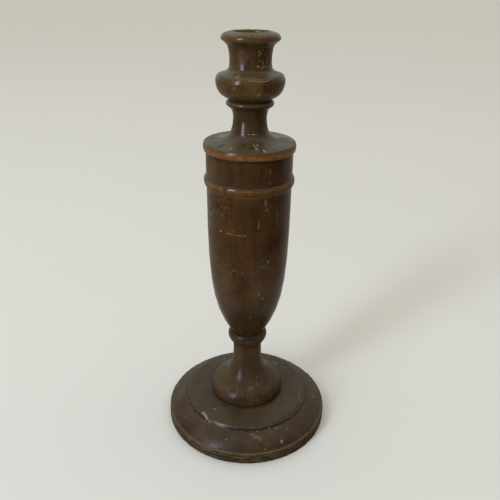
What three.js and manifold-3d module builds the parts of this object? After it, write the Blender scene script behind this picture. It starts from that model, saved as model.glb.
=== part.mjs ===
// A turned wooden candlestick, 275 mm tall.
// It stands on its baize pad at z = 0, with +Z up and its axis on the Z axis. All sizes are in millimetres.
// A profile is a path of (radius, height) points that is turned about the axis.
import * as THREE from 'three';
import { mergeVertices } from 'three/addons/utils/BufferGeometryUtils.js';
import Module from 'manifold-3d';

// Sides of a turned piece, and the straight steps that each curve of a profile is cut into.
const turnedSides = 40;
const curveSteps = 5;

// Clear space between two pieces that are glued or screwed face to face.
const gap = 0.3;

// Base: a wide disc with a raised centre, and a recess beneath for the pad.
const baseRadius = 59.1;
const baseFootHeight = 0.3;
const rimHeight = 8.2;
const ovoloTop = { radius: 45.9, height: 17.1 };
const plateauRadius = 42.8;
const plateauHeight = 20.0;
const baseTopHeight = 21.2;
const padRadius = 55.6;
const padThickness = 1.1;
const grooveHeight = 6.0;
const grooveDepth = 0.5;
const edgeRounding = 0.6;

// Pedestal: a bell foot, a slim stem and a bead, with a tenon in the base.
const bellRadius = 26.3;
const bellHeight = baseTopHeight + gap;
const stemRadius = 10.15;
const stemHeight = 58.0;
const stemBeadRadius = 13.9;
const stemBeadHeight = 68.7;
const pedestalTop = 73.0;
const bellSweep = { start: 31.6, end: 35.0 };
const stemFlare = { start: 61.5, end: 63.5 };
const tenonRadius = 11.7;
const mortiseFloor = 8.5;

// Urn: it swells from the pedestal to a straight band, with one bead around it.
const urnBottom = pedestalTop + gap;
const urnFootRadius = 11.7;
const urnBelly = { radius: 24.9, height: 96.1 };
const urnShoulderHeight = 111.5;
const urnRadius = 27.35;
const urnTaperEnd = 180.0;
const bandRadius = 27.5;
const urnBeadRadius = 29.0;
const urnBeadHeight = 186.9;
const urnBeadHalf = 2.5;
const urnTop = 205.3;

// Shoulder cap: a rounded edge, a nearly level top and a slim neck that ends in a thin collar.
const capBottom = urnTop + gap;
const capRadius = 29.1;
const capEdgeHeight = 208.4;
const capTopHeight = 211.3;
const capTopRadius = 20.0;
const neckCove = { radius: 13.0, start: 213.1, end: 217.0 };
const neckRadius = 10.3;
const neckHeight = 225.5;
const neckFlare = { start: 228.5, end: 230.6 };
const collarRadius = 14.65;
const collarHeight = 234.8;
const neckTop = 236.5;

// Candle socket: a bulb, a waisted cup and a flared rim around a slightly tapered hole.
const socketBottom = neckTop + gap;
const socketFootRadius = 12.6;
const bulbFoot = { radius: 15.6, height: 238.5 };
const bulbRadius = 20.85;
const bulbHeight = 247.6;
const bulbShoulder = { radius: 17.65, height: 252.1 };
const cupFoot = { radius: 14.6, height: 253.2 };
const cupRadius = 12.43;
const cupHeight = 258.0;
const cupTop = { radius: 13.6, height: 267.0 };
const rimUnderside = { radius: 16.7, height: 270.0 };
const rimRadius = 17.55;
const rimEdgeHeight = 271.5;
const rimTop = { radius: 14.8, height: 274.2 };
const totalHeight = 275.0;
const mouthRadius = 11.3;
const boreTopRadius = 10.6;
const boreFloorRadius = 9.8;
const boreFloor = 250.4;

// Dowels: plain pegs, each glued into a blind hole in the piece below and the piece above it.
const dowelChamfer = 0.8;
const holeEndRoom = 0.6;
const stemDowel = { radius: 5.0, bottom: 57.5, top: 90.0 };
const shoulderDowel = { radius: 6.0, bottom: 186.0, top: 217.5 };
const socketDowel = { radius: 4.6, bottom: 222.5, top: 245.0 };

// Wood screw: it goes up through the base into the pedestal's tenon.
const screwHeadRadius = 5.2;
const screwHeadBottom = 2.3;
const screwHeadTop = 5.3;
const screwRadius = 2.5;
const screwTaperStart = 26.0;
const screwTop = 34.0;
const slotWidth = 1.2;
const slotDepth = 1.0;

const darkWood = { color: 0x3d2a1d, roughness: 0.38, metalness: 0.0 };
const socketWood = { color: 0x4a3824, roughness: 0.45, metalness: 0.0 };
const beech = { color: 0xc39a66, roughness: 0.75, metalness: 0.0 };
const baize = { color: 0x2f4a34, roughness: 0.95, metalness: 0.0 };
const steel = { color: 0x8c8a86, roughness: 0.4, metalness: 0.9 };

function named(name, geometry, finish) {
  const mesh = new THREE.Mesh(geometry, new THREE.MeshStandardMaterial(finish));
  mesh.name = name;
  return mesh;
}

// The material is on the left of the path as it runs, so the outer side runs upwards.
function turned(path, sides = turnedSides) {
  const geometry = new THREE.LatheGeometry(path.getPoints(curveSteps), sides);
  geometry.rotateX(Math.PI / 2);
  return geometry;
}

// A dowel's hole, drawn down from the face that it opens in, and ending on the axis.
function holeDown(path, dowel, face) {
  return path
    .lineTo(dowel.radius + gap, face)
    .lineTo(dowel.radius + gap, dowel.bottom - holeEndRoom)
    .lineTo(0, dowel.bottom - holeEndRoom);
}

// The same for a hole that opens downwards: it starts on the axis and ends on the lower face.
function holeUp(dowel, face) {
  return new THREE.Path()
    .moveTo(0, dowel.top + holeEndRoom)
    .lineTo(dowel.radius + gap, dowel.top + holeEndRoom)
    .lineTo(dowel.radius + gap, face);
}

function basePad() {
  const pad = new THREE.Path()
    .moveTo(0, 0)
    .lineTo(padRadius, 0)
    .lineTo(padRadius, padThickness)
    .lineTo(0, padThickness);
  return named('base_pad', turned(pad), baize);
}

function baseDisc() {
  const recess = padThickness + gap;
  const screwHole = screwRadius + gap;
  const headHole = screwHeadRadius + gap;
  const disc = new THREE.Path()
    .moveTo(headHole, recess)
    .lineTo(padRadius + gap, recess)
    .lineTo(padRadius + gap, baseFootHeight)
    .lineTo(baseRadius - edgeRounding, baseFootHeight)
    .quadraticCurveTo(baseRadius, baseFootHeight, baseRadius, baseFootHeight + edgeRounding)
    // wall, a scratched groove and the small bead above it
    .lineTo(baseRadius, grooveHeight - 0.4)
    .lineTo(baseRadius - grooveDepth, grooveHeight)
    .lineTo(baseRadius - 0.1, grooveHeight + 0.4)
    .quadraticCurveTo(baseRadius - 0.1, rimHeight - 0.2, baseRadius - 1.0, rimHeight)
    // ovolo and the quirk at its top
    .lineTo(baseRadius - 1.4, rimHeight)
    .quadraticCurveTo(ovoloTop.radius + 6.9, ovoloTop.height - 3.5, ovoloTop.radius, ovoloTop.height)
    .lineTo(ovoloTop.radius - 0.4, ovoloTop.height - 0.1)
    // cove up to the raised centre, which rises a little towards the stem
    .quadraticCurveTo(ovoloTop.radius - 0.9, plateauHeight - 1.4, plateauRadius + 0.9, plateauHeight - 0.5)
    .lineTo(plateauRadius, plateauHeight)
    .quadraticCurveTo(plateauRadius - 8.8, baseTopHeight - 0.3, bellRadius + 1.2, baseTopHeight)
    .lineTo(tenonRadius + gap, baseTopHeight)
    // mortise, screw hole and countersink
    .lineTo(tenonRadius + gap, mortiseFloor)
    .lineTo(screwHole, mortiseFloor)
    .lineTo(screwHole, screwHeadTop + gap)
    .lineTo(headHole, screwHeadBottom + gap)
    .lineTo(headHole, recess);
  return named('base_disc', turned(disc), darkWood);
}

// Joins and cuts are made on a mesh with its seams merged.
function solidOf(wasm, geometry) {
  const plain = geometry.clone();
  plain.deleteAttribute('normal');
  plain.deleteAttribute('uv');
  const merged = mergeVertices(plain, 1e-3);
  return new wasm.Manifold(new wasm.Mesh({
    numProp: 3,
    vertProperties: new Float32Array(merged.attributes.position.array),
    triVerts: new Uint32Array(merged.index.array),
  }));
}

function geometryOf(solid) {
  const { vertProperties, triVerts } = solid.getMesh();
  const geometry = new THREE.BufferGeometry();
  geometry.setAttribute('position', new THREE.BufferAttribute(new Float32Array(vertProperties), 3));
  geometry.setIndex(new THREE.BufferAttribute(new Uint32Array(triVerts), 1));
  geometry.computeVertexNormals();
  return geometry;
}

function baseScrew(wasm) {
  const screw = new THREE.Path()
    .moveTo(0, screwHeadBottom)
    .lineTo(screwHeadRadius, screwHeadBottom)
    .lineTo(screwRadius, screwHeadTop)
    .lineTo(screwRadius, screwTaperStart)
    .lineTo(0, screwTop);
  const slot = new THREE.BoxGeometry(3 * screwHeadRadius, slotWidth, 2 * slotDepth);
  slot.translate(0, 0, screwHeadBottom);
  const slotted = solidOf(wasm, turned(screw, 20)).subtract(solidOf(wasm, slot));
  return named('base_screw', geometryOf(slotted), steel);
}

function pedestal() {
  const pilotHole = screwRadius + gap;
  const tenonBottom = mortiseFloor + gap;
  const profile = new THREE.Path()
    .moveTo(0, screwTop + holeEndRoom)
    .lineTo(pilotHole, screwTop - 6.0)
    .lineTo(pilotHole, tenonBottom)
    .lineTo(tenonRadius, tenonBottom)
    .lineTo(tenonRadius, bellHeight)
    .lineTo(bellRadius - 0.6, bellHeight)
    // rounded lip, then one long curve over the bell and into the stem
    .quadraticCurveTo(bellRadius, bellHeight, bellRadius, bellHeight + 1.6)
    .bezierCurveTo(bellRadius, bellSweep.start, stemRadius, bellSweep.end, stemRadius, stemHeight)
    .quadraticCurveTo(stemRadius, stemFlare.start, stemRadius + 0.5, stemFlare.end)
    // bead under the urn
    .quadraticCurveTo(stemBeadRadius - 0.9, stemFlare.end + 1.2, stemBeadRadius, stemBeadHeight)
    .quadraticCurveTo(stemBeadRadius, pedestalTop - 1.0, urnFootRadius + 0.4, pedestalTop);
  return named('pedestal', turned(holeDown(profile, stemDowel, pedestalTop)), darkWood);
}

function urn() {
  const profile = holeUp(stemDowel, urnBottom)
    .lineTo(urnFootRadius, urnBottom)
    .lineTo(urnFootRadius + 0.7, urnBottom + 1.1)
    .bezierCurveTo(urnBelly.radius, urnBelly.height, urnRadius, urnShoulderHeight, urnRadius, urnTaperEnd)
    .lineTo(urnRadius + 0.1, urnTaperEnd + 2.4)
    // small step, bead and quirk
    .lineTo(urnRadius + 0.6, urnTaperEnd + 3.4)
    .lineTo(urnRadius + 0.6, urnBeadHeight - urnBeadHalf)
    .quadraticCurveTo(urnBeadRadius, urnBeadHeight - 2.3, urnBeadRadius, urnBeadHeight)
    .quadraticCurveTo(urnBeadRadius, urnBeadHeight + 2.3, bandRadius, urnBeadHeight + urnBeadHalf)
    .lineTo(bandRadius, urnTop);
  return named('urn', turned(holeDown(profile, shoulderDowel, urnTop)), darkWood);
}

function shoulderCap() {
  const profile = holeUp(shoulderDowel, capBottom)
    .lineTo(bandRadius + 0.4, capBottom)
    // rounded edge
    .quadraticCurveTo(capRadius, capBottom + 0.6, capRadius, capEdgeHeight)
    .quadraticCurveTo(capRadius, capTopHeight - 0.2, capRadius - 1.1, capTopHeight)
    // top, cove and neck
    .lineTo(capTopRadius, capTopHeight + 0.9)
    .bezierCurveTo(neckCove.radius, neckCove.start, neckRadius + 0.3, neckCove.end, neckRadius, neckHeight)
    .quadraticCurveTo(neckRadius, neckFlare.start, neckRadius + 0.9, neckFlare.end)
    // collar with a sharp edge
    .quadraticCurveTo(neckRadius + 1.6, neckFlare.end + 1.3, collarRadius - 0.7, collarHeight - 1.6)
    .quadraticCurveTo(collarRadius, collarHeight - 1.0, collarRadius, collarHeight)
    .quadraticCurveTo(collarRadius - 0.2, neckTop - 0.4, collarRadius - 1.7, neckTop);
  return named('shoulder_cap', turned(holeDown(profile, socketDowel, neckTop)), darkWood);
}

function candleSocket() {
  const profile = holeUp(socketDowel, socketBottom)
    .lineTo(socketFootRadius, socketBottom)
    .lineTo(socketFootRadius + 0.1, socketBottom + 0.8)
    // bulb, low and wide
    .lineTo(bulbFoot.radius, bulbFoot.height)
    .quadraticCurveTo(bulbRadius - 0.2, bulbFoot.height + 2.7, bulbRadius, bulbHeight)
    .quadraticCurveTo(bulbRadius, bulbShoulder.height - 0.7, bulbShoulder.radius, bulbShoulder.height)
    .lineTo(cupFoot.radius, cupFoot.height)
    // waisted cup
    .quadraticCurveTo(cupRadius + 0.2, cupFoot.height + 1.0, cupRadius, cupHeight)
    .quadraticCurveTo(cupRadius, cupTop.height - 3.0, cupTop.radius, cupTop.height)
    .quadraticCurveTo(cupTop.radius + 1.0, cupTop.height + 1.6, rimUnderside.radius, rimUnderside.height)
    // flared rim, then the hole down to its floor
    .quadraticCurveTo(rimRadius, rimUnderside.height + 0.7, rimRadius, rimEdgeHeight)
    .quadraticCurveTo(rimRadius - 0.3, rimTop.height - 0.8, rimTop.radius, rimTop.height)
    .lineTo(mouthRadius + 0.6, totalHeight)
    .quadraticCurveTo(mouthRadius - 0.4, totalHeight - 0.1, boreTopRadius, totalHeight - 1.4)
    .lineTo(boreFloorRadius, boreFloor)
    .lineTo(0, boreFloor);
  return named('candle_socket', turned(profile), socketWood);
}

function dowelPeg(name, { radius, bottom, top }) {
  const peg = new THREE.Path()
    .moveTo(0, bottom)
    .lineTo(radius - dowelChamfer, bottom)
    .lineTo(radius, bottom + dowelChamfer)
    .lineTo(radius, top - dowelChamfer)
    .lineTo(radius - dowelChamfer, top)
    .lineTo(0, top);
  return named(name, turned(peg, 20), beech);
}

const wasm = await Module();
wasm.setup();

const candlestick = new THREE.Group();
candlestick.add(
  basePad(),
  baseDisc(),
  baseScrew(wasm),
  pedestal(),
  dowelPeg('stem_dowel', stemDowel),
  urn(),
  dowelPeg('shoulder_dowel', shoulderDowel),
  shoulderCap(),
  dowelPeg('socket_dowel', socketDowel),
  candleSocket(),
);

export default candlestick;
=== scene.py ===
import math

import bpy
from mathutils import Matrix, Vector


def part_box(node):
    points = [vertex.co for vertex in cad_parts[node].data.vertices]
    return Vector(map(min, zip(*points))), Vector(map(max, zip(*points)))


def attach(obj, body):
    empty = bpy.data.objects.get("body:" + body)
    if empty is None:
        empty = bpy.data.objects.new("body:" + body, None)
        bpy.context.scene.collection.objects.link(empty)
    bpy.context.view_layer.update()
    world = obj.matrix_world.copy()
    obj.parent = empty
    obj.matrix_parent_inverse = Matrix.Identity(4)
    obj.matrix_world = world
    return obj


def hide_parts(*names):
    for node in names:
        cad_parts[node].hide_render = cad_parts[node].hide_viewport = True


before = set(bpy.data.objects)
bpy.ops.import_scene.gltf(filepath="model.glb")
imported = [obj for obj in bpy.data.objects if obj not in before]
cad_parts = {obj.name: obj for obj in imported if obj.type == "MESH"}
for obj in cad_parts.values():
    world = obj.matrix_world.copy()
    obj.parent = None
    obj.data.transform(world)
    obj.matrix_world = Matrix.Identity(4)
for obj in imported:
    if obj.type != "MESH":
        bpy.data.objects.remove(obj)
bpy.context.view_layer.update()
bpy.ops.object.select_all(action="DESELECT")
print("frame loaded")

mm = 0.001
roundSteps = 192      # straight steps round a turned piece
curveSteps = 7        # straight steps along each curve of a profile
mergeDistance = 2e-6  # metres within which two points of a turned piece become one
bevelAngle = 28       # degrees past which an edge is softened
smoothAngle = 35      # degrees below which an edge is shaded smooth
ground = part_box("base_pad")[0].z


# turning and finishing

def underside(node):
    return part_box(node)[0].z


def knotsOf(outline, bottom):
    # a stroke is a line to a point, a curve with one control point or a sweep with two
    knots = []
    for stroke in outline:
        points = [Vector((r * mm, 0, bottom + z * mm)) for r, z in zip(stroke[::2], stroke[1::2])]
        end = points[-1]
        if len(points) > 1:
            start = knots[-1]["at"]
            out, back = points[0], points[-2]
            if len(points) == 2:
                out = start + (points[0] - start) * 2 / 3
                back = end + (points[0] - end) * 2 / 3
            knots[-1]["out"] = out
            knots.append({"at": end, "back": back})
        else:
            knots.append({"at": end})
    return knots


def drawProfile(name, outline, bottom):
    bpy.ops.object.select_all(action="DESELECT")
    bpy.ops.curve.primitive_bezier_curve_add(location=(0, 0, 0))
    drawn = bpy.context.object
    drawn.name = name
    drawn.data.dimensions = "3D"
    drawn.data.resolution_u = curveSteps
    spline = drawn.data.splines[0]
    knots = knotsOf(outline, bottom)
    spline.bezier_points.add(len(knots) - 2)
    for point, knot in zip(spline.bezier_points, knots):
        point.handle_left_type = "FREE" if "back" in knot else "VECTOR"
        point.handle_right_type = "FREE" if "out" in knot else "VECTOR"
        point.co = knot["at"]
        point.handle_left = knot.get("back", knot["at"])
        point.handle_right = knot.get("out", knot["at"])
    bpy.ops.object.convert(target="MESH")
    return bpy.context.object


def turn(name, outline, bottom, steps=roundSteps):
    piece = drawProfile(name, outline, bottom)
    bpy.ops.object.mode_set(mode="EDIT")
    bpy.ops.mesh.select_all(action="SELECT")
    bpy.ops.mesh.spin(steps=steps, angle=2 * math.pi, center=(0, 0, 0), axis=(0, 0, 1))
    bpy.ops.mesh.select_all(action="SELECT")
    bpy.ops.mesh.remove_doubles(threshold=mergeDistance)
    bpy.ops.mesh.normals_make_consistent(inside=False)
    bpy.ops.object.mode_set(mode="OBJECT")
    return piece


def selectOnly(piece):
    bpy.ops.object.select_all(action="DESELECT")
    bpy.context.view_layer.objects.active = piece
    piece.select_set(True)


def applyModifier(piece, kind, **settings):
    selectOnly(piece)
    bpy.ops.object.modifier_add(type=kind)
    modifier = piece.modifiers[-1]
    for key, value in settings.items():
        setattr(modifier, key, value)
    bpy.ops.object.modifier_apply(modifier=modifier.name)


def softenEdges(piece, width):
    applyModifier(piece, "BEVEL", width=width * mm, segments=2, limit_method="ANGLE",
                  angle_limit=math.radians(bevelAngle))


def displace(piece, depth, size, middle=0.5, group="", **look):
    pattern = bpy.data.textures.new(piece.name + "Pattern", "CLOUDS")
    pattern.noise_scale = size * mm
    for key, value in look.items():
        setattr(pattern, key, value)
    applyModifier(piece, "DISPLACE", texture=pattern, texture_coords="LOCAL", strength=depth * mm,
                  mid_level=middle, vertex_group=group)
    bpy.data.textures.remove(pattern)


def nibble(piece, edge):
    # small chips along an edge, deeper where the pattern is darkest
    group = piece.vertex_groups.new(name="edge")
    for vertex in piece.data.vertices:
        at = vertex.co
        away = math.hypot(math.hypot(at.x, at.y) - edge["radius"] * mm, at.z - edge["height"] * mm)
        weight = 1 - away / (edge["reach"] * mm)
        if weight > 0:
            group.add([vertex.index], weight, "REPLACE")
    displace(piece, edge["depth"], edge["size"], 0.62, group.name, noise_depth=3, contrast=2.2)
    piece.vertex_groups.clear()


def finishPiece(piece, node, material):
    selectOnly(piece)
    bpy.ops.object.shade_smooth_by_angle(angle=math.radians(smoothAngle))
    applyModifier(piece, "WEIGHTED_NORMAL", keep_sharp=True)
    piece.data.materials.clear()
    piece.data.materials.append(material)
    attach(piece, "root")
    if node:
        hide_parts(node)
    print("piece done:", piece.name, len(piece.data.polygons), "faces")


# nodes

def addNode(tree, kind, inputs=None, **settings):
    made = tree.nodes.new("ShaderNode" + kind)
    for key, value in settings.items():
        setattr(made, key, value)
    for key, value in (inputs or {}).items():
        if isinstance(value, bpy.types.NodeSocket):
            tree.links.new(value, made.inputs[key])
        else:
            made.inputs[key].default_value = value
    return made


def maths(tree, operation, a, b=0.0):
    return addNode(tree, "Math", {0: a, 1: b}, operation=operation).outputs[0]


def product(tree, first, *others):
    for other in others:
        first = maths(tree, "MULTIPLY", first, other)
    return first


def fade(tree, value, low, high, fromValue=0.0, toValue=1.0):
    return addNode(tree, "MapRange", {"Value": value, "From Min": low, "From Max": high,
                                      "To Min": fromValue, "To Max": toValue},
                   interpolation_type="SMOOTHSTEP").outputs[0]


def noise(tree, coords, scale, detail=3.0, roughness=0.55, distortion=0.0, output="Fac"):
    made = addNode(tree, "TexNoise", {"Vector": coords, "Scale": scale, "Detail": detail,
                                      "Roughness": roughness, "Distortion": distortion})
    return made.outputs[output]


def mixColour(tree, factor, a, b):
    made = addNode(tree, "Mix", {"Factor": factor}, data_type="RGBA")
    for socket, value in ((made.inputs[6], a), (made.inputs[7], b)):
        if isinstance(value, bpy.types.NodeSocket):
            tree.links.new(value, socket)
        else:
            socket.default_value = (*value, 1)
    return made.outputs[2]


def stretch(tree, coords, scale):
    return addNode(tree, "Mapping", {"Vector": coords, "Scale": scale}).outputs[0]


def stray(tree, coords, amount, scale, detail=2.0):
    # the same coordinates, shifted a little by a noise
    swirl = noise(tree, coords, scale, detail, output="Color")
    drift = addNode(tree, "VectorMath", {0: swirl, 1: (0.5, 0.5, 0.5)}, operation="SUBTRACT").outputs[0]
    drift = addNode(tree, "VectorMath", {0: drift, "Scale": amount * mm}, operation="SCALE").outputs[0]
    return addNode(tree, "VectorMath", {0: coords, 1: drift}, operation="ADD").outputs[0]


def newMaterial(name):
    material = bpy.data.materials.new(name)
    material.use_nodes = True
    tree = material.node_tree
    shader = tree.nodes["Principled BSDF"]
    coords = addNode(tree, "TexCoord").outputs["Object"]
    return material, tree, shader, coords


def measures(tree, coords):
    # height and distance from the axis in millimetres, and how far the surface faces up
    inMm = addNode(tree, "VectorMath", {0: coords, "Scale": 1 / mm}, operation="SCALE").outputs[0]
    parts = addNode(tree, "SeparateXYZ", {"Vector": inMm})
    flat = addNode(tree, "CombineXYZ", {"X": parts.outputs["X"], "Y": parts.outputs["Y"]}).outputs[0]
    radius = addNode(tree, "VectorMath", {0: flat}, operation="LENGTH").outputs["Value"]
    normal = addNode(tree, "NewGeometry").outputs["Normal"]
    facing = addNode(tree, "SeparateXYZ", {"Vector": normal}).outputs["Z"]
    return {"height": parts.outputs["Z"], "radius": radius, "facing": facing}


def specks(tree, coords, flecks):
    # round flecks, one in some of the cells, in two sizes
    total = None
    for finer, rarer in ((1, 1), (2.4, 0.6)):
        scale, share = flecks["scale"] * finer, flecks["share"] * rarer
        cells = addNode(tree, "TexVoronoi", {"Vector": coords, "Scale": scale})
        pick = addNode(tree, "SeparateColor", {"Color": cells.outputs["Color"]})
        kept = maths(tree, "LESS_THAN", pick.outputs[0], share)
        inside = maths(tree, "LESS_THAN", cells.outputs["Distance"],
                       maths(tree, "MULTIPLY", pick.outputs[1], flecks["size"]))
        dots = product(tree, kept, inside)
        total = dots if total is None else maths(tree, "MAXIMUM", total, dots)
    return total


limitBlur = 0.3   # millimetres over which a ring fades in at its inner limit
markDepth = 4     # millimetres that a mark reaches in and out of the surface


def ringMask(tree, place, ring, broken):
    # a ring lies at one height or one radius; "outside" keeps it to larger radii, as on a bead
    away = maths(tree, "ABSOLUTE", maths(tree, "SUBTRACT", place[ring["along"]], ring["at"]))
    edge = ring["half"] + ring["soft"]
    core = max(ring["half"] - ring["soft"], 0.0)
    mask = fade(tree, away, edge, core, 0.0, ring["strength"])
    if "outside" in ring:
        limit = ring["outside"]
        mask = product(tree, mask, fade(tree, place["radius"], limit - limitBlur, limit + limitBlur))
    return product(tree, mask, broken) if ring.get("patchy", True) else mask


def hairlines(tree, coords, place, look):
    # fine curling scratches, gathered in patches and in one scuffed stretch
    lines = None
    for scale, thin in ((130, 0.008), (310, 0.014)):
        wander = noise(tree, stray(tree, coords, 4, 260, 3.0), scale, 1.0)
        line = fade(tree, maths(tree, "ABSOLUTE", maths(tree, "SUBTRACT", wander, 0.5)), thin, 0.0)
        lines = line if lines is None else maths(tree, "MAXIMUM", lines, line)
    patches = fade(tree, noise(tree, coords, 55, 3.0, 0.6), 0.54, 0.70)
    gaps = fade(tree, noise(tree, coords, 900, 3.0), 0.42, 0.58)
    if "scuffed" in look:
        patches = maths(tree, "MAXIMUM", patches, ringMask(tree, place, look["scuffed"], gaps))
    return product(tree, lines, patches, gaps, look["scratched"])


def spots(tree, coords, marks, lying):
    # a mark: degrees round from the front, then height, radius, half width and half length in millimetres,
    # then strength
    total = None
    for angle, height, radius, across, along, strength in marks:
        a = math.radians(angle)
        centre = (math.sin(a) * radius * mm, -math.cos(a) * radius * mm, ground + height * mm)
        reach = (across, along, markDepth) if lying else (across, markDepth, along)
        local = addNode(tree, "Mapping", {"Vector": coords, "Location": centre, "Rotation": (0, 0, a),
                                          "Scale": tuple(size * mm for size in reach)},
                        vector_type="TEXTURE")
        far = addNode(tree, "VectorMath", {0: local.outputs[0]}, operation="LENGTH").outputs["Value"]
        mark = fade(tree, far, 1.0, 0.7, 0.0, strength)
        total = mark if total is None else maths(tree, "MAXIMUM", total, mark)
    return total


# woods

darkWood = {
    "deep": (0.026, 0.0110, 0.0036), "warm": (0.070, 0.0305, 0.0095), "streak": (0.018, 0.009, 0.004),
    "tarnish": (0.042, 0.033, 0.014), "worn": (0.205, 0.085, 0.023), "rubbed": (0.104, 0.044, 0.0125),
    "dustAndSheen": (0.100, 0.088, 0.044), "grimeAndShade": (0.014, 0.011, 0.006), "fleck": (0.31, 0.26, 0.165),
    "specular": 0.23, "roughness": 0.12, "wear": 240, "scratch": (0.22, 0.14, 0.06), "scratched": 0.75,
}
# noise scales, in cells to a metre
scales = {
    "fibres": 650, "figure": 150, "mottle": 42, "pores": 1700, "streaks": 210, "tarnish": 70, "gloss": 75,
    "ripple": 420, "edgeLines": 1100, "dustAndSheen": 110, "ragged": 900, "grit": 1300,
}
# share of its scale that a pattern keeps along the grain, which draws it out
drawnOut = {"fibres": 0.05, "pores": 0.12, "streaks": 0.02}


def woodMaterial(name, shape):
    look = shape["look"]
    lying = shape.get("lying", False)
    material, tree, shader, coords = newMaterial(name)
    place = measures(tree, coords)
    wavy = stray(tree, coords, 3, 25)

    def alongGrain(pattern):
        share = drawnOut[pattern]
        return stretch(tree, wavy, (share, 1, 1) if lying else (1, 1, share))

    # the wood itself: fibres, figure and pores
    grained = alongGrain("fibres")
    fibres = noise(tree, grained, scales["fibres"], 5.0, 0.65)
    figure = noise(tree, grained, scales["figure"], 3.0, 0.6, 0.6)
    mottle = noise(tree, coords, scales["mottle"], 4.0, 0.6)
    pores = noise(tree, alongGrain("pores"), scales["pores"], 2.0, 0.5)
    poreMask = fade(tree, pores, 0.35, 0.27)
    tone = maths(tree, "ADD", product(tree, figure, 0.3), product(tree, mottle, 0.55))
    tone = maths(tree, "ADD", tone, product(tree, fibres, 0.15))
    colour = mixColour(tree, fade(tree, tone, 0.36, 0.64), look["deep"], look["warm"])
    streaks = noise(tree, alongGrain("streaks"), scales["streaks"], 2.0)
    colour = mixColour(tree, fade(tree, streaks, 0.56, 0.72, 0.0, 0.25), colour, look["streak"])
    tarnish = noise(tree, coords, scales["tarnish"], 5.0, 0.62)
    colour = mixColour(tree, fade(tree, tarnish, 0.46, 0.68, 0.0, 0.5), colour, look["tarnish"])
    colour = mixColour(tree, product(tree, poreMask, 0.55), colour, look["grimeAndShade"])
    gloss = noise(tree, coords, scales["gloss"], 4.0)
    rough = fade(tree, gloss, 0.32, 0.68, look["roughness"] - 0.05, look["roughness"] + 0.10)
    height = maths(tree, "SUBTRACT", product(tree, fibres, 0.3), product(tree, poreMask, 0.6))
    height = maths(tree, "ADD", height, product(tree, noise(tree, coords, scales["ripple"], 3.0), 0.35))

    # rubbed edges, dark lines in the grooves, and painted shade lines where one part meets another, under
    # beads and under lips
    broken = fade(tree, noise(tree, coords, look["wear"], 4.0, 0.65), 0.36, 0.60, 0.1, 1.0)
    for ring in shape["rings"]:
        colour = mixColour(tree, ringMask(tree, place, ring, broken), colour, look[ring["colour"]])
    if "edgeStreaks" in shape:
        edge = shape["edgeStreaks"]
        lines = noise(tree, stretch(tree, coords, (0.12, 0.12, 1)), scales["edgeLines"], 3.0, 0.6)
        worn = product(tree, fade(tree, place["radius"], edge["from"], edge["to"]),
                       fade(tree, lines, 0.40, 0.66, 0.0, edge["strength"]))
        colour = mixColour(tree, worn, colour, look["rim"])
        rough = maths(tree, "ADD", rough, product(tree, worn, 0.35))

    # dust, dulled polish and a painted sheen lie on what faces up: up-facing surfaces are painted paler,
    # partly as dust and partly as a painted sheen of the bright room
    dustAndSheenSettings = shape["dustAndSheen"]
    patchy = fade(tree, noise(tree, coords, scales["dustAndSheen"], 5.0, 0.65), 0.3, 0.65, 0.35, 1.0)
    upward = fade(tree, place["facing"], dustAndSheenSettings["from"], 0.97, 0.0, dustAndSheenSettings["strength"])
    dustAndSheenMask = product(tree, upward, patchy)
    colour = mixColour(tree, dustAndSheenMask, colour, look["dustAndSheen"])
    rough = maths(tree, "ADD", rough, product(tree, dustAndSheenMask, 0.5))

    # specks, scratches and single marks
    dots = specks(tree, coords, shape["flecks"])
    colour = mixColour(tree, product(tree, dots, 0.6), colour, look["fleck"])
    height = maths(tree, "ADD", height, dots)
    scratches = hairlines(tree, coords, place, look)
    colour = mixColour(tree, scratches, colour, look["scratch"])
    rough = maths(tree, "ADD", rough, product(tree, scratches, 0.4))
    ragged = stray(tree, coords, 1.5, scales["ragged"], 4.0)
    grit = fade(tree, noise(tree, coords, scales["grit"], 3.0), 0.36, 0.54, 0.15, 1.0)
    for kind, group in shape["marks"].items():
        shown = product(tree, spots(tree, ragged, group, lying), grit)
        colour = mixColour(tree, shown, colour, look[kind])
        rough = maths(tree, "ADD", rough, product(tree, shown, 0.4))
        if kind == "fleck":
            height = maths(tree, "ADD", height, shown)

    tree.links.new(colour, shader.inputs["Base Color"])
    tree.links.new(rough, shader.inputs["Roughness"])
    bump = addNode(tree, "Bump", {"Height": height, "Strength": 0.3, "Distance": 0.1 * mm})
    tree.links.new(bump.outputs[0], shader.inputs["Normal"])
    shader.inputs["Specular IOR Level"].default_value = look["specular"]
    return material


def makeTurned(name, node, shape):
    piece = turn(name, shape["outline"], underside(node), shape.get("steps", roundSteps))
    softenEdges(piece, shape["soften"])
    displace(piece, shape["uneven"], shape["unevenSize"], noise_depth=1)
    for edge in shape.get("chipped", ()):
        nibble(piece, edge)
    finishPiece(piece, node, woodMaterial(shape["wood"], shape))


# base

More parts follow.
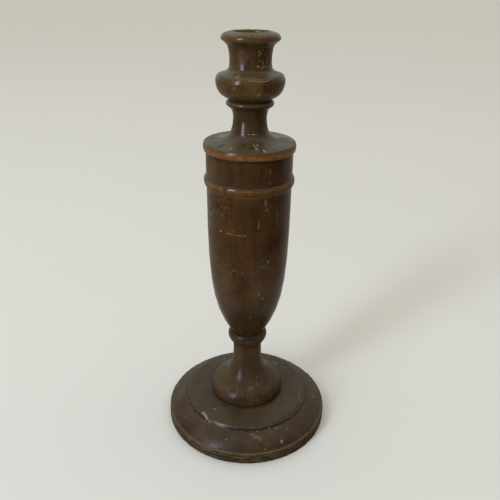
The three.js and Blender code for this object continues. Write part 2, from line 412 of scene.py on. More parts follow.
base = {
    "wood": "baseWood",
    "outline": [
        (5.5, 1.1), (55.9, 1.1), (55.9, 0), (58.5, 0), (59.1, 0, 59.1, 0.6), (59.1, 5.3), (58.6, 5.7),
        (59.0, 6.1), (59.0, 7.7, 58.1, 7.9), (57.7, 7.9), (52.8, 13.3, 45.9, 16.8), (45.5, 16.7),
        (45.0, 18.3, 43.7, 19.2), (42.8, 19.7), (34.0, 20.6, 27.5, 20.9), (12.0, 20.9), (12.0, 8.2),
        (2.8, 8.2), (2.8, 5.3), (5.5, 2.3), (5.5, 1.1),
    ],
    "lying": True, "steps": 320, "soften": 0.14, "uneven": 0.16, "unevenSize": 16,
    "dustAndSheen": {"from": 0.62, "strength": 0.26},
    "chipped": [
        {"radius": 58.4, "height": 8.0, "reach": 1.3, "depth": 0.5, "size": 1.9},
        {"radius": 59.0, "height": 0.8, "reach": 1.1, "depth": 0.35, "size": 2.4},
    ],
    "look": {
        **darkWood, "wear": 420, "deep": (0.022, 0.01, 0.0044), "warm": (0.054, 0.0232, 0.008),
        "roughness": 0.29, "tarnish": (0.036, 0.026, 0.01), "rim": (0.1, 0.075, 0.027),
        "stain": (0.2, 0.15, 0.045),
    },
    "rings": [
        {
            "along": "height", "at": 6.0, "half": 0.25, "soft": 0.2, "outside": 57.5, "colour": "grimeAndShade",
            "strength": 0.9,
        },
        {"along": "radius", "at": 58.2, "half": 0.4, "soft": 0.35, "colour": "dustAndSheen", "strength": 0.8},
        {
            "along": "radius", "at": 45.7, "half": 0.4, "soft": 0.25, "colour": "grimeAndShade", "strength": 0.9,
            "patchy": False,
        },
        {
            "along": "radius", "at": 43.5, "half": 0.5, "soft": 0.3, "colour": "grimeAndShade", "strength": 0.8,
            "patchy": False,
        },
        # a pale line between the two grooves at the plateau's edge: part dust, part painted sheen
        {"along": "radius", "at": 44.5, "half": 0.3, "soft": 0.3, "colour": "dustAndSheen", "strength": 0.55},
        # painted shadow round the pedestal's foot, where it stands on the base
        {
            "along": "radius", "at": 26.7, "half": 0.5, "soft": 0.4, "colour": "grimeAndShade", "strength": 0.9,
            "patchy": False,
        },
        {
            "along": "radius", "at": 34.5, "half": 8.0, "soft": 0.8, "colour": "grimeAndShade", "strength": 0.14,
            "patchy": False,
        },
    ],
    "edgeStreaks": {"from": 56.8, "to": 58.4, "strength": 0.85},
    "flecks": {"scale": 210, "size": 0.13, "share": 0.03},
    "marks": {
        "stain": [
            (5, 16, 47.8, 2.2, 1.1, 0.4), (8, 15, 49.4, 3.4, 1.5, 0.4), (11, 14, 51.0, 2.4, 1.0, 0.35),
            (27, 16, 47.0, 2.0, 1.2, 0.3),
        ],
        "fleck": [
            (-45, 19, 43.6, 1.5, 0.9, 0.6), (-42, 19, 44.0, 2.0, 0.8, 0.75), (-39, 18, 44.8, 1.8, 0.7, 0.6),
            (-35, 17, 45.4, 1.8, 0.5, 0.6), (27, 11, 54.8, 1.3, 1.1, 0.5), (140, 21, 35.3, 3.0, 2.2, 0.35),
            (-39, 21, 35.9, 1.0, 0.6, 0.7), (-9, 20, 41.1, 0.6, 0.4, 0.7), (21, 17, 45.3, 0.4, 0.4, 0.9),
            (-15, 13, 51.9, 0.6, 0.4, 0.7), (0, 13, 52.0, 0.5, 0.4, 0.6), (14, 9, 56.5, 0.6, 0.4, 0.9),
            (36, 15, 49.8, 0.5, 0.4, 0.6), (55, 15, 48.8, 0.6, 0.4, 0.9), (64, 16, 47.4, 0.4, 0.4, 0.6),
            (84, 14, 51.2, 0.5, 1.0, 0.8), (-38, 15, 49.6, 0.4, 0.5, 0.7), (-59, 13, 52.5, 0.4, 0.4, 0.8),
            (-79, 9, 57.2, 0.7, 0.5, 0.7), (-149, 21, 36.7, 0.6, 1.1, 0.5), (68, 20, 43.0, 0.8, 0.4, 0.6),
            (-62, 20, 43.0, 0.4, 0.4, 0.6), (10, 17, 46.2, 1.2, 0.4, 0.5), (-4, 17, 46.0, 0.5, 0.4, 0.7),
            (47, 17, 45.0, 1.0, 0.4, 0.5), (75, 20, 41.0, 0.8, 0.6, 0.5), (160, 12, 53.0, 1.0, 0.6, 0.6),
            (-120, 13, 52.0, 0.8, 0.4, 0.6), (118, 19, 43.5, 1.7, 0.5, 0.5),
        ],
        "grimeAndShade": [
            (-55, 16, 46.5, 2.2, 0.8, 0.8), (30, 10, 56.0, 1.8, 0.8, 0.7), (-18, 9, 57.0, 2.6, 0.6, 0.8),
            (52, 9, 57.2, 2.4, 0.7, 0.8), (-150, 10, 56.5, 3.0, 0.8, 0.7),
        ],
    },
}
makeTurned("baseDisc", "base_disc", base)


# pedestal

pedestal = {
    "wood": "pedestalWood",
    "outline": [
        (0, 25.8), (2.8, 19.2), (2.8, 0), (11.7, 0), (11.7, 12.7), (25.7, 12.7), (26.3, 12.7, 26.3, 14.3),
        (26.3, 20.2, 22.0, 22.7), (15.0, 26.77, 10.15, 30.7, 10.15, 46.2), (10.15, 49.2),
        (10.15, 52.7, 10.65, 54.7), (13.0, 55.9, 13.9, 59.9), (13.9, 63.2, 12.1, 64.2), (5.3, 64.2),
        (5.3, 48.1), (0, 48.1),
    ],
    "soften": 0.12, "uneven": 0.12, "unevenSize": 13, "dustAndSheen": {"from": 0.3, "strength": 0.18},
    "look": {
        **darkWood, "deep": (0.03, 0.0152, 0.0064), "warm": (0.066, 0.0355, 0.0148), "roughness": 0.25,
        "specular": 0.14,
    },
    "rings": [
        # painted shadow line at the bottom of the bell foot, where it stands on the base
        {"along": "height", "at": 22.0, "half": 0.4, "soft": 0.3, "colour": "grimeAndShade", "strength": 0.8},
        # painted shade and painted dark reflection on the bead's top, under the urn
        {"along": "height", "at": 72.6, "half": 1.4, "soft": 1.0, "colour": "grimeAndShade", "strength": 0.9},
        {"along": "height", "at": 64.0, "half": 0.5, "soft": 0.4, "colour": "grimeAndShade", "strength": 0.6},
        {
            "along": "height", "at": 67.6, "half": 1.4, "soft": 1.0, "outside": 13.0, "colour": "rubbed",
            "strength": 0.45,
        },
    ],
    "flecks": {"scale": 240, "size": 0.16, "share": 0.03},
    "marks": {
        "fleck": [
            (-60, 28, 25.3, 0.3, 2.2, 0.3), (-50, 29, 24.7, 0.3, 1.8, 0.3), (-44, 26, 26.0, 0.4, 1.4, 0.3),
            (-37, 31, 22.8, 0.3, 1.6, 0.3), (-18, 31, 22.8, 0.4, 2.0, 0.25), (10, 42, 12.0, 0.3, 0.6, 0.4),
            (30, 38, 14.1, 0.6, 0.8, 0.4), (24, 34, 18.1, 0.3, 1.6, 0.3), (8, 33, 19.6, 2.8, 1.0, 0.18),
        ],
        "grimeAndShade": [
            (-2, 30, 23.9, 0.8, 5.0, 0.6), (14, 29, 24.7, 0.6, 4.0, 0.5), (150, 32, 21.1, 1.2, 5.0, 0.5),
        ],
    },
}
makeTurned("pedestalFoot", "pedestal", pedestal)


# urn

urn = {
    "wood": "urnWood",
    "outline": [
        (0, 17.3), (5.3, 17.3), (5.3, 0), (11.7, 0), (12.4, 1.1), (24.9, 22.8, 27.35, 38.2, 27.35, 106.7),
        (27.45, 109.1), (27.95, 110.1), (27.95, 111.1), (29.0, 111.3, 29.0, 113.6),
        (29.0, 115.9, 27.5, 116.1), (27.5, 132.0), (6.3, 132.0), (6.3, 112.1), (0, 112.1),
    ],
    "soften": 0.12, "uneven": 0.14, "unevenSize": 15, "dustAndSheen": {"from": 0.3, "strength": 0.3},
    "look": {
        **darkWood,
        "scuffed": {"along": "height", "at": 136, "half": 6, "soft": 6, "strength": 0.5, "patchy": False},
    },
    "rings": [
        {
            "along": "height", "at": 187.2, "half": 1.4, "soft": 0.5, "outside": 28.2, "colour": "rubbed",
            "strength": 0.9,
        },
        {
            "along": "height", "at": 187.8, "half": 0.6, "soft": 0.4, "outside": 28.2, "colour": "worn",
            "strength": 0.55,
        },
        {"along": "height", "at": 189.6, "half": 0.3, "soft": 0.25, "colour": "grimeAndShade", "strength": 0.8},
        # painted shadow line at the top of the band, under the shoulder cap's ring
        {"along": "height", "at": 205.2, "half": 0.4, "soft": 0.4, "colour": "grimeAndShade", "strength": 0.8},
        # a painted highlight line along the lower edge of the lower ring
        {"along": "height", "at": 183.8, "half": 0.3, "soft": 0.25, "colour": "dustAndSheen", "strength": 0.5},
        # the urn is painted darker towards its bottom, over the lower taper
        {
            "along": "height", "at": 88.0, "half": 15.0, "soft": 9.0, "colour": "grimeAndShade", "strength": 0.45,
            "patchy": False,
        },
    ],
    "flecks": {"scale": 150, "size": 0.09, "share": 0.04},
    "marks": {
        "worn": [
            (-48, 132, 26.5, 0.3, 1.0, 0.8), (-45, 136, 26.6, 0.5, 0.3, 0.7),
            (-42, 134, 26.6, 0.3, 0.8, 0.7), (-50, 139, 26.8, 0.25, 1.2, 0.6),
            (-29, 139, 26.8, 0.5, 0.25, 0.6), (32, 137, 26.7, 0.3, 1.0, 0.7),
            (21, 141, 26.8, 0.25, 1.3, 0.6), (4, 181, 27.4, 1.5, 0.5, 0.3),
        ],
        "fleck": [
            (-64, 174, 27.3, 0.5, 3.4, 0.6), (-61, 167, 27.3, 0.5, 1.8, 0.6),
            (-66, 160, 27.2, 0.6, 2.6, 0.5), (22, 180, 27.4, 0.9, 2.6, 0.35),
            (24, 175, 27.3, 0.7, 1.2, 0.3), (41, 172, 27.3, 0.35, 3.0, 0.4), (41, 166, 27.2, 0.4, 1.2, 0.5),
            (13, 166, 27.3, 0.35, 3.4, 0.45), (-40, 159, 27.2, 0.8, 0.5, 0.8),
            (-28, 158.8, 27.2, 1.3, 0.25, 0.7), (-23, 158.5, 27.2, 1.5, 0.2, 0.5),
            (-18, 158.7, 27.2, 1.3, 0.2, 0.5), (-12, 158.4, 27.2, 1.7, 0.3, 0.7),
            (-6, 158.7, 27.2, 1.5, 0.25, 0.6), (28, 139, 26.8, 0.3, 1.2, 0.7),
            (26, 137, 26.7, 0.7, 0.3, 0.6), (30, 140, 26.8, 0.7, 0.25, 0.6),
            (-26, 131, 26.5, 0.6, 0.4, 0.7), (-20, 133, 26.6, 0.4, 0.4, 0.7),
            (-7, 132, 26.5, 0.4, 0.4, 0.6), (17, 115, 25.1, 0.3, 1.8, 0.5), (24, 111, 24.6, 0.3, 1.6, 0.6),
            (5, 95, 21.4, 0.5, 0.3, 0.8), (27, 199, 27.5, 0.4, 1.2, 0.5), (26, 192, 27.5, 0.4, 0.4, 0.5),
            (95, 150, 27.1, 0.5, 3.0, 0.5), (140, 172, 27.3, 0.8, 1.6, 0.4),
            (-118, 128, 26.3, 0.6, 1.2, 0.5), (175, 140, 26.8, 2.6, 0.35, 0.5),
        ],
        "grimeAndShade": [
            (-3, 199, 27.5, 0.4, 1.8, 0.8), (2, 197, 27.5, 0.4, 2.4, 0.8), (6, 194, 27.5, 0.35, 1.6, 0.7),
            (3, 150, 27.1, 0.8, 4.0, 0.4), (120, 160, 27.2, 0.8, 6.0, 0.4),
        ],
    },
}
makeTurned("urnBody", "urn", urn)


# shoulder cap

cap = {
    "wood": "capWood",
    "outline": [
        (0, 12.5), (6.3, 12.5), (6.3, 0), (27.9, 0), (29.1, 0.6, 29.1, 2.8), (29.1, 5.5, 28.0, 5.7),
        (20.0, 6.6), (13.0, 7.5, 10.6, 11.4, 10.3, 19.9), (10.3, 22.9, 11.2, 25.0),
        (11.9, 26.3, 13.95, 27.6), (14.65, 28.2, 14.65, 29.2), (14.45, 30.5, 12.95, 30.9), (4.9, 30.9),
        (4.9, 16.3), (0, 16.3),
    ],
    "soften": 0.12, "uneven": 0.1, "unevenSize": 11, "dustAndSheen": {"from": 0.3, "strength": 0.55},
    "look": {**darkWood, "dustAndSheen": (0.102, 0.097, 0.043), "roughness": 0.14},
    "rings": [
        {
            "along": "height", "at": 208.5, "half": 2.0, "soft": 0.7, "outside": 28.1, "colour": "rubbed",
            "strength": 0.95, "patchy": False,
        },
        {
            "along": "height", "at": 208.2, "half": 1.2, "soft": 0.8, "outside": 28.3, "colour": "worn",
            "strength": 0.75,
        },
        # painted shade on the underside of the shoulder ring
        {"along": "height", "at": 205.9, "half": 0.5, "soft": 0.4, "colour": "grimeAndShade", "strength": 0.75},
        {"along": "height", "at": 233.0, "half": 0.3, "soft": 0.25, "colour": "grimeAndShade", "strength": 0.6},
        # a painted highlight along the collar's top edge
        {
            "along": "height", "at": 235.0, "half": 0.5, "soft": 0.4, "outside": 14.0, "colour": "dustAndSheen",
            "strength": 0.5,
        },
    ],
    "flecks": {"scale": 230, "size": 0.14, "share": 0.03},
    "marks": {
        "fleck": [
            # the first four pale dashes, round the foot of the neck, are a painted highlight
            (-3, 218, 11.7, 1.0, 0.35, 0.7), (9, 218, 11.7, 1.3, 0.4, 0.85),
            (20, 218, 11.8, 1.0, 0.35, 0.7), (10, 220, 11.0, 0.5, 0.5, 0.5), (9, 213, 17.3, 0.3, 1.0, 0.8),
            (10, 213, 19.0, 0.3, 1.0, 0.8), (11, 212, 20.8, 0.35, 1.0, 0.8), (12, 212, 22.6, 0.3, 1.1, 0.8),
            (13, 212, 24.3, 0.3, 1.0, 0.7), (17, 213, 17.0, 0.7, 0.3, 0.7), (15, 213, 18.4, 0.6, 0.4, 0.6),
            (13, 212, 19.8, 0.6, 0.4, 0.6), (10, 212, 21.6, 0.6, 0.4, 0.6), (8, 212, 23.0, 0.6, 0.4, 0.6),
            (20, 212, 26.5, 1.3, 0.8, 1.0), (4, 212, 26.0, 0.5, 0.4, 0.5), (-28, 212, 24.6, 0.9, 0.6, 0.9),
            (160, 212, 22.0, 0.7, 2.2, 0.5), (-130, 212, 25.0, 1.0, 0.5, 0.6),
        ],
        "grimeAndShade": [
            (-48, 212, 22.8, 1.6, 0.7, 0.8), (-12, 213, 17.8, 1.4, 0.8, 0.7), (7, 212, 20.0, 1.2, 0.8, 0.8),
            (15, 212, 24.5, 1.6, 0.6, 0.6), (100, 212, 23.0, 2.0, 0.8, 0.6),
        ],
    },
}
makeTurned("shoulderCap", "shoulder_cap", cap)


# candle socket

socket = {
    "wood": "socketWood",
    "outline": [
        (0, 8.8), (4.9, 8.8), (4.9, 0), (12.6, 0), (12.7, 0.8), (15.6, 1.7), (20.65, 4.4, 20.85, 10.8),
        (20.85, 14.6, 17.65, 15.3), (14.6, 16.4), (12.6, 17.4, 12.43, 21.2), (12.5, 27.2, 13.6, 30.2),
        (14.6, 31.8, 16.7, 33.2), (17.55, 33.9, 17.55, 34.7), (17.25, 36.6, 14.8, 37.4), (11.9, 38.2),
        (10.9, 38.1, 10.6, 36.8), (9.8, 13.6), (0, 13.6),
    ],
    "soften": 0.12, "uneven": 0.16, "unevenSize": 8, "dustAndSheen": {"from": 0.3, "strength": 0.5},
    "chipped": [{"radius": 12.0, "height": 275.0, "reach": 1.3, "depth": 0.25, "size": 1.5}],
    "look": {
        **darkWood, "deep": (0.036, 0.017, 0.0058), "warm": (0.092, 0.05, 0.017),
        "tarnish": (0.06, 0.05, 0.018), "dustAndSheen": (0.125, 0.096, 0.038), "stain": (0.135, 0.098, 0.022),
        "crust": (0.185, 0.135, 0.075), "red": (0.105, 0.038, 0.014),
    },
    "rings": [
        {"along": "height", "at": 262.0, "half": 8.5, "soft": 2.0, "colour": "deep", "strength": 0.45},
        # painted shade on the upper cup, under the rim's lip
        {"along": "height", "at": 267.6, "half": 2.4, "soft": 1.8, "colour": "grimeAndShade", "strength": 0.55},
        {
            "along": "height", "at": 271.0, "half": 0.8, "soft": 0.6, "outside": 16.9, "colour": "rubbed",
            "strength": 0.8,
        },
        {"along": "height", "at": 252.6, "half": 0.5, "soft": 0.4, "colour": "grimeAndShade", "strength": 0.6},
        # painted shade line under the bulb, above the collar
        {"along": "height", "at": 237.9, "half": 0.7, "soft": 0.6, "colour": "grimeAndShade", "strength": 0.8},
        {"along": "radius", "at": 6.0, "half": 5.2, "soft": 0.6, "colour": "stain", "strength": 0.75},
    ],
    "flecks": {"scale": 260, "size": 0.16, "share": 0.03},
    "marks": {
        "red": [
            (-38, 246, 20.6, 5.0, 4.5, 0.35), (-20, 262, 12.5, 3.0, 5.0, 0.5),
            (-8, 262, 12.5, 1.6, 1.2, 0.6), (5, 270, 17.2, 4.5, 0.8, 0.6), (150, 246, 20.6, 5.0, 3.0, 0.5),
        ],
        "stain": [
            (8, 248, 20.7, 4.5, 4.0, 0.13), (42, 246, 20.6, 3.0, 3.5, 0.12),
            (-125, 248, 20.6, 5.0, 3.0, 0.2),
        ],
        "crust": [
            (21, 265, 13.1, 0.7, 0.8, 0.7), (23, 263, 12.8, 0.8, 0.7, 0.8), (28, 264, 12.9, 0.5, 1.0, 0.6),
            (31, 266, 13.2, 0.8, 0.5, 0.5), (40, 263, 12.7, 0.5, 0.8, 0.5), (25, 260, 12.5, 0.5, 0.6, 0.5),
            (34, 259, 12.5, 0.5, 1.6, 0.7), (46, 260, 12.5, 0.6, 1.0, 0.6), (20, 257, 12.5, 1.2, 0.8, 0.8),
            (31, 256, 12.8, 1.3, 0.6, 0.8), (36, 257, 12.6, 0.9, 0.8, 0.7), (45, 257, 12.5, 0.6, 0.7, 0.7),
            (50, 259, 12.5, 0.4, 1.2, 0.5), (9, 243, 19.6, 0.6, 0.5, 0.6), (12, 242, 19.5, 0.8, 0.6, 0.7),
            (15, 243, 19.9, 0.7, 0.7, 0.8), (-23, 252, 18.1, 1.5, 1.0, 0.9),
            (-26, 246, 20.7, 0.5, 0.9, 0.8), (-29, 249, 20.6, 0.3, 1.6, 0.4), (5, 275, 12.4, 0.9, 0.8, 0.9),
            (-16, 272, 17.0, 1.2, 0.8, 0.3), (110, 262, 12.6, 0.9, 1.6, 0.6),
            (-140, 250, 19.8, 1.4, 0.8, 0.6),
        ],
        "grimeAndShade": [
            (2, 274, 14.5, 0.7, 0.7, 0.6), (14, 274, 15.0, 0.9, 0.6, 0.5), (-12, 264, 12.9, 0.9, 2.0, 0.5),
            (-6, 267, 13.6, 3.5, 1.2, 0.5), (25, 247, 20.7, 0.7, 3.0, 0.4),
        ],
    },
}
makeTurned("candleSocket", "candle_socket", socket)


# a thin run of old wax across the bulb: (degrees round from the front, height, radius)

waxRun = {
    "route": [
        (-3, 250.3, 20.15), (5, 250.2, 20.3), (12, 249.9, 20.45), (20, 249.8, 20.5), (28, 249.9, 20.45),
        (32, 250.4, 20.15), (36, 251.3, 19.45), (43, 252.0, 18.1), (50, 252.9, 15.8),
    ],
    "thick": 0.42, "uneven": 0.12, "unevenSize": 1.6, "colour": (0.38, 0.29, 0.12),
}


def makeWaxRun():
    bpy.ops.object.select_all(action="DESELECT")
    bpy.ops.curve.primitive_nurbs_path_add(location=(0, 0, 0))
    run = bpy.context.object
    run.name = "waxRun"
    spline = run.data.splines[0]
    spline.points.add(len(waxRun["route"]) - len(spline.points))
    for i, (angle, height, radius) in enumerate(waxRun["route"]):
        a = math.radians(angle)
        place = Vector((math.sin(a) * radius * mm, -math.cos(a) * radius * mm, ground + height * mm))
        spline.points[i].co = (*place, 1)
        spline.points[i].radius = 0.65 + 0.35 * math.sin(2.3 * i)
    spline.use_endpoint_u = True
    run.data.bevel_depth = waxRun["thick"] / 2 * mm
    run.data.bevel_resolution = 3
    run.data.use_fill_caps = True
    run.data.resolution_u = 10
    bpy.ops.object.convert(target="MESH")
    piece = bpy.context.object
    bpy.ops.object.mode_set(mode="EDIT")
    bpy.ops.mesh.select_all(action="SELECT")
    bpy.ops.mesh.remove_doubles(threshold=1e-6)
    bpy.ops.mesh.normals_make_consistent(inside=False)
    bpy.ops.object.mode_set(mode="OBJECT")
    displace(piece, waxRun["uneven"], waxRun["unevenSize"], noise_depth=2)
    material, tree, shader, coords = newMaterial("oldWax")
    dirt = noise(tree, coords, 500, 4.0)
    dull = tuple(c * 0.35 for c in waxRun["colour"])
    colour = mixColour(tree, fade(tree, dirt, 0.4, 0.65), waxRun["colour"], dull)
    tree.links.new(colour, shader.inputs["Base Color"])
    tree.links.new(fade(tree, dirt, 0.3, 0.7, 0.3, 0.55), shader.inputs["Roughness"])
    finishPiece(piece, None, material)


# baize pad

pad = {"radius": 55.5, "thick": 1.1, "rounding": 0.35, "steps": 160, "colour": (0.030, 0.085, 0.038)}


def makePad():
    thick = pad["thick"]
    soft = pad["rounding"]
    edge = pad["radius"]
    outline = [(0, 0.04), (edge * 0.5, 0.03), (edge - soft, 0.0), (edge, 0.0, edge, soft),
               (edge, thick, edge - soft, thick), (0, thick)]
    piece = turn("basePad", outline, underside("base_pad"), pad["steps"])
    material, tree, shader, coords = newMaterial("greenBaize")
    nap = noise(tree, coords, 1900, 5.0, 0.7)
    fibre = noise(tree, stretch(tree, stray(tree, coords, 6, 60), (1, 0.15, 1)), 1500, 3.0, 0.6)
    patch = noise(tree, coords, 45, 3.0)
    dark = tuple(c * 0.45 for c in pad["colour"])
    light = tuple(c * 1.5 for c in pad["colour"])
    weave = maths(tree, "ADD", product(tree, nap, 0.6), product(tree, fibre, 0.4))
    colour = mixColour(tree, weave, dark, light)
    colour = mixColour(tree, fade(tree, patch, 0.45, 0.75, 0.0, 0.5), colour, (0.085, 0.085, 0.055))
    tree.links.new(colour, shader.inputs["Base Color"])
    pile = maths(tree, "ADD", nap, fibre)
    bump = addNode(tree, "Bump", {"Height": pile, "Strength": 0.7, "Distance": 0.3 * mm})
    tree.links.new(bump.outputs[0], shader.inputs["Normal"])
    tree.links.new(fade(tree, nap, 0.3, 0.7, 0.85, 1.0), shader.inputs["Roughness"])
    shader.inputs["Sheen Weight"].default_value = 0.4
    shader.inputs["Sheen Roughness"].default_value = 0.5
    finishPiece(piece, "base_pad", material)


# wood screw

screw = {
    "outline": [
        (0, 0), (4.6, 0), (5.2, 0.1), (5.2, 0.35), (2.5, 3.0), (2.5, 8.0), (2.45, 23.7), (0.5, 31.4),
        (0, 31.7),
    ],
    "threadFrom": 9.0, "pitch": 1.8, "depth": 0.55, "cuts": 103, "cutSpacing": 0.3, "core": 0.4,
    "slot": (1.2, 1.0), "headRadius": 5.2, "steps": 48,
}


def makeScrew():
    bottom = underside("base_screw")
    piece = turn("baseScrew", screw["outline"], bottom, screw["steps"])
    selectOnly(piece)
    bpy.ops.object.mode_set(mode="EDIT")
    for i in range(screw["cuts"]):
        level = bottom + (screw["threadFrom"] + screw["cutSpacing"] * i) * mm
        bpy.ops.mesh.select_all(action="SELECT")
        bpy.ops.mesh.bisect(plane_co=(0, 0, level), plane_no=(0, 0, 1))
    bpy.ops.object.mode_set(mode="OBJECT")
    for vertex in piece.data.vertices:
        at = vertex.co
        up = (at.z - bottom) / mm - screw["threadFrom"]
        radius = math.hypot(at.x, at.y)
        if up > 0 and radius > screw["core"] * mm:
            turns = up / screw["pitch"] - math.atan2(at.y, at.x) / (2 * math.pi)
            valley = abs(2 * (turns - math.floor(turns)) - 1)
            cut = screw["depth"] * mm * valley * min(1, up / screw["pitch"])
            keep = 1 - min(cut / radius, 0.6)
            vertex.co.x *= keep
            vertex.co.y *= keep
    width, deep = screw["slot"]
    bpy.ops.object.select_all(action="DESELECT")
    bpy.ops.mesh.primitive_cube_add(size=1, location=(0, 0, bottom))
    cutter = bpy.context.object
    cutter.scale = (3 * screw["headRadius"] * mm, width * mm, 2 * deep * mm)
    applyModifier(piece, "BOOLEAN", object=cutter, operation="DIFFERENCE", solver="EXACT")
    bpy.data.objects.remove(cutter)
    material, tree, shader, coords = newMaterial("dullSteel")
    rust = fade(tree, noise(tree, coords, 320, 5.0, 0.65), 0.45, 0.68)
    colour = mixColour(tree, rust, (0.30, 0.285, 0.265), (0.10, 0.045, 0.020))
    tree.links.new(colour, shader.inputs["Base Color"])
    tree.links.new(fade(tree, rust, 0.0, 1.0, 0.34, 0.8), shader.inputs["Roughness"])
    tree.links.new(fade(tree, rust, 0.0, 1.0, 1.0, 0.2), shader.inputs["Metallic"])
    finishPiece(piece, "base_screw", material)


# dowels

dowel = {"flutes": 12, "fluteDepth": 0.28, "chamfer": 0.8, "stepsPerFlute": 8}


def dowelMaterial():
    material, tree, shader, coords = newMaterial("bareBeech")
    fibres = noise(tree, stretch(tree, coords, (1, 1, 0.05)), 900, 4.0, 0.6)
    rays = fade(tree, noise(tree, stretch(tree, coords, (1, 1, 0.25)), 1600, 1.0), 0.62, 0.7)
    colour = mixColour(tree, fibres, (0.42, 0.235, 0.095), (0.62, 0.39, 0.18))
    colour = mixColour(tree, product(tree, rays, 0.5), colour, (0.26, 0.12, 0.045))
    tree.links.new(colour, shader.inputs["Base Color"])
    tree.links.new(fade(tree, fibres, 0.3, 0.7, 0.6, 0.8), shader.inputs["Roughness"])
    bump = addNode(tree, "Bump", {"Height": fibres, "Strength": 0.3, "Distance": 0.1 * mm})
    tree.links.new(bump.outputs[0], shader.inputs["Normal"])
    return material


def makeDowel(name, node, material):
    low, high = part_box(node)
    radius = (high.x - low.x) / 2 / mm
    tall = (high.z - low.z) / mm
    edge = dowel["chamfer"]
    outline = [(0, 0), (radius - edge, 0), (radius, edge), (radius, tall - edge),
               (radius - edge, tall), (0, tall)]
    piece = turn(name, outline, low.z, dowel["flutes"] * dowel["stepsPerFlute"])
    for vertex in piece.data.vertices:
        at = vertex.co
        if math.hypot(at.x, at.y) > (radius - edge / 2) * mm:
            wave = 0.5 - 0.5 * math.cos(dowel["flutes"] * math.atan2(at.y, at.x))
            keep = 1 - dowel["fluteDepth"] * wave ** 2 / radius
            vertex.co.x *= keep
            vertex.co.y *= keep
    finishPiece(piece, node, material)


makeWaxRun()
makePad()
makeScrew()
bareBeech = dowelMaterial()
for dowelName, dowelNode in (("stemDowel", "stem_dowel"), ("shoulderDowel", "shoulder_dowel"),
                             ("socketDowel", "socket_dowel")):
    makeDowel(dowelName, dowelNode, bareBeech)


# stage, lights and camera

stageLook = {
    "floorSize": 40, "shadeSize": 12, "floor": (0.72, 0.71, 0.66), "wall": (0.74, 0.73, 0.71),
    "shadeFront": (0.05, 0.045, 0.04), "shadeBack": (0.36, 0.34, 0.30), "shadeRound": (0.46, 0.44, 0.39),
    "roomFront": (0.21, 0.20, 0.18), "roomBack": (0.66, 0.65, 0.61), "ceiling": (1.08, 1.06, 1.00),
}
windowLight = {
    "azimuth": -45, "distance": 2.2, "width": 0.55, "bottom": 0.08, "top": 2.05, "power": 50,
    "colour": (0.74, 0.83, 1.0),
}


def makeFloor():
    bpy.ops.mesh.primitive_plane_add(size=stageLook["floorSize"], location=(0, 0, ground))
    floor = bpy.context.object
    floor.name = "floor"
    material, tree, shader, coords = newMaterial("paleFloor")
    tint = noise(tree, coords, 6, 3.0)
    colour = mixColour(tree, tint, stageLook["floor"], tuple(c * 1.04 for c in stageLook["floor"]))
    tree.links.new(colour, shader.inputs["Base Color"])
    shader.inputs["Roughness"].default_value = 0.8
    shader.inputs["Specular IOR Level"].default_value = 0.0
    floor.data.materials.append(material)


def makeRoom():
    # the camera sees a plain pale wall; the piece is lit by a room that is brighter behind it and above
    world = bpy.data.worlds.new("paleRoom")
    world.use_nodes = True
    bpy.context.scene.world = world
    tree = world.node_tree
    background = tree.nodes["Background"]
    way = addNode(tree, "SeparateXYZ", {"Vector": addNode(tree, "TexCoord").outputs["Generated"]})
    behind = fade(tree, way.outputs["Y"], -0.45, 0.35)
    colour = mixColour(tree, behind, stageLook["roomFront"], stageLook["roomBack"])
    overhead = fade(tree, way.outputs["Z"], 0.45, 0.85)
    above = product(tree, overhead, fade(tree, way.outputs["Y"], -0.75, -0.2, 0.4, 1.0))
    colour = mixColour(tree, above, colour, stageLook["ceiling"])
    seen = addNode(tree, "LightPath").outputs["Is Camera Ray"]
    colour = mixColour(tree, seen, colour, stageLook["wall"])
    tree.links.new(colour, background.inputs["Color"])


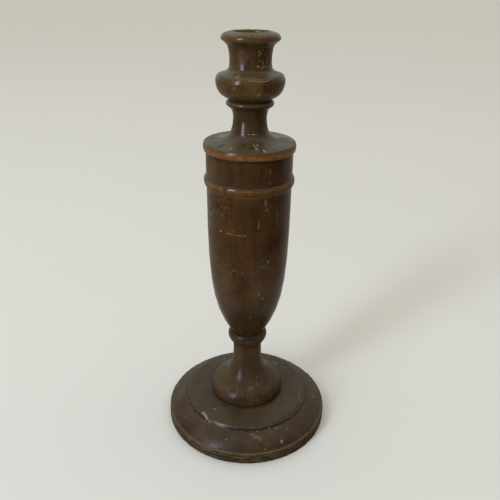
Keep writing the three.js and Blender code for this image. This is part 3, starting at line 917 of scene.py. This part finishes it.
def makeTableShade():
    # the polish mirrors this dark sheet in place of the pale floor; nothing else sees it
    bpy.ops.mesh.primitive_plane_add(size=stageLook["shadeSize"], location=(0, 0, ground + 0.5 * mm))
    shade = bpy.context.object
    shade.name = "tableShade"
    material, tree, shader, coords = newMaterial("darkSheet")
    place = measures(tree, coords)
    across = addNode(tree, "SeparateXYZ", {"Vector": coords}).outputs
    backwards = fade(tree, across["Y"], -0.15, 0.2)
    colour = mixColour(tree, backwards, stageLook["shadeFront"], stageLook["shadeBack"])
    # the paler ring round the piece and the paler back are a painted reflection of a lit table
    around = product(tree, fade(tree, place["radius"], 72, 90), fade(tree, place["radius"], 260, 170),
                     fade(tree, maths(tree, "ABSOLUTE", across["X"]), 0.0, 0.07, 0.3, 1.0))
    colour = mixColour(tree, around, colour, stageLook["shadeRound"])
    tree.links.new(colour, shader.inputs["Base Color"])
    shader.inputs["Roughness"].default_value = 1.0
    shader.inputs["Specular IOR Level"].default_value = 0.0
    shade.data.materials.append(material)
    shade.visible_camera = False
    shade.visible_diffuse = False
    shade.visible_shadow = False


def makeWindow():
    look = windowLight
    a = math.radians(look["azimuth"])
    height = (look["bottom"] + look["top"]) / 2
    place = Vector((math.sin(a) * look["distance"], -math.cos(a) * look["distance"], height))
    bpy.ops.object.light_add(type="AREA", location=place)
    light = bpy.context.object
    light.name = "window"
    light.data.shape = "RECTANGLE"
    light.data.size = look["width"]
    light.data.size_y = look["top"] - look["bottom"]
    light.data.energy = look["power"]
    light.data.color = look["colour"]
    light.rotation_euler = (math.radians(90), 0, a)
    light.visible_camera = False


# millimetres from the origin, then degrees, then the lens in millimetres
cameraPlace = {"across": 1.1, "back": 339.2, "up": 300.6, "downwards": 25.9, "roll": 0.75, "lens": 39.9}


def makeCamera():
    place = (cameraPlace["across"] * mm, -cameraPlace["back"] * mm, cameraPlace["up"] * mm)
    bpy.ops.object.camera_add(location=place)
    camera = bpy.context.object
    camera.name = "camera"
    tilt = Matrix.Rotation(math.radians(90 - cameraPlace["downwards"]), 4, "X")
    roll = Matrix.Rotation(math.radians(cameraPlace["roll"]), 4, "Z")
    camera.rotation_euler = (tilt @ roll).to_euler()
    camera.data.sensor_width = 36
    camera.data.lens = cameraPlace["lens"]
    camera.data.clip_start = 0.01
    bpy.context.scene.camera = camera


makeFloor()
makeRoom()
makeTableShade()
makeWindow()
makeCamera()
bpy.context.scene.view_settings.view_transform = "Standard"
print("stage, lights and camera made")
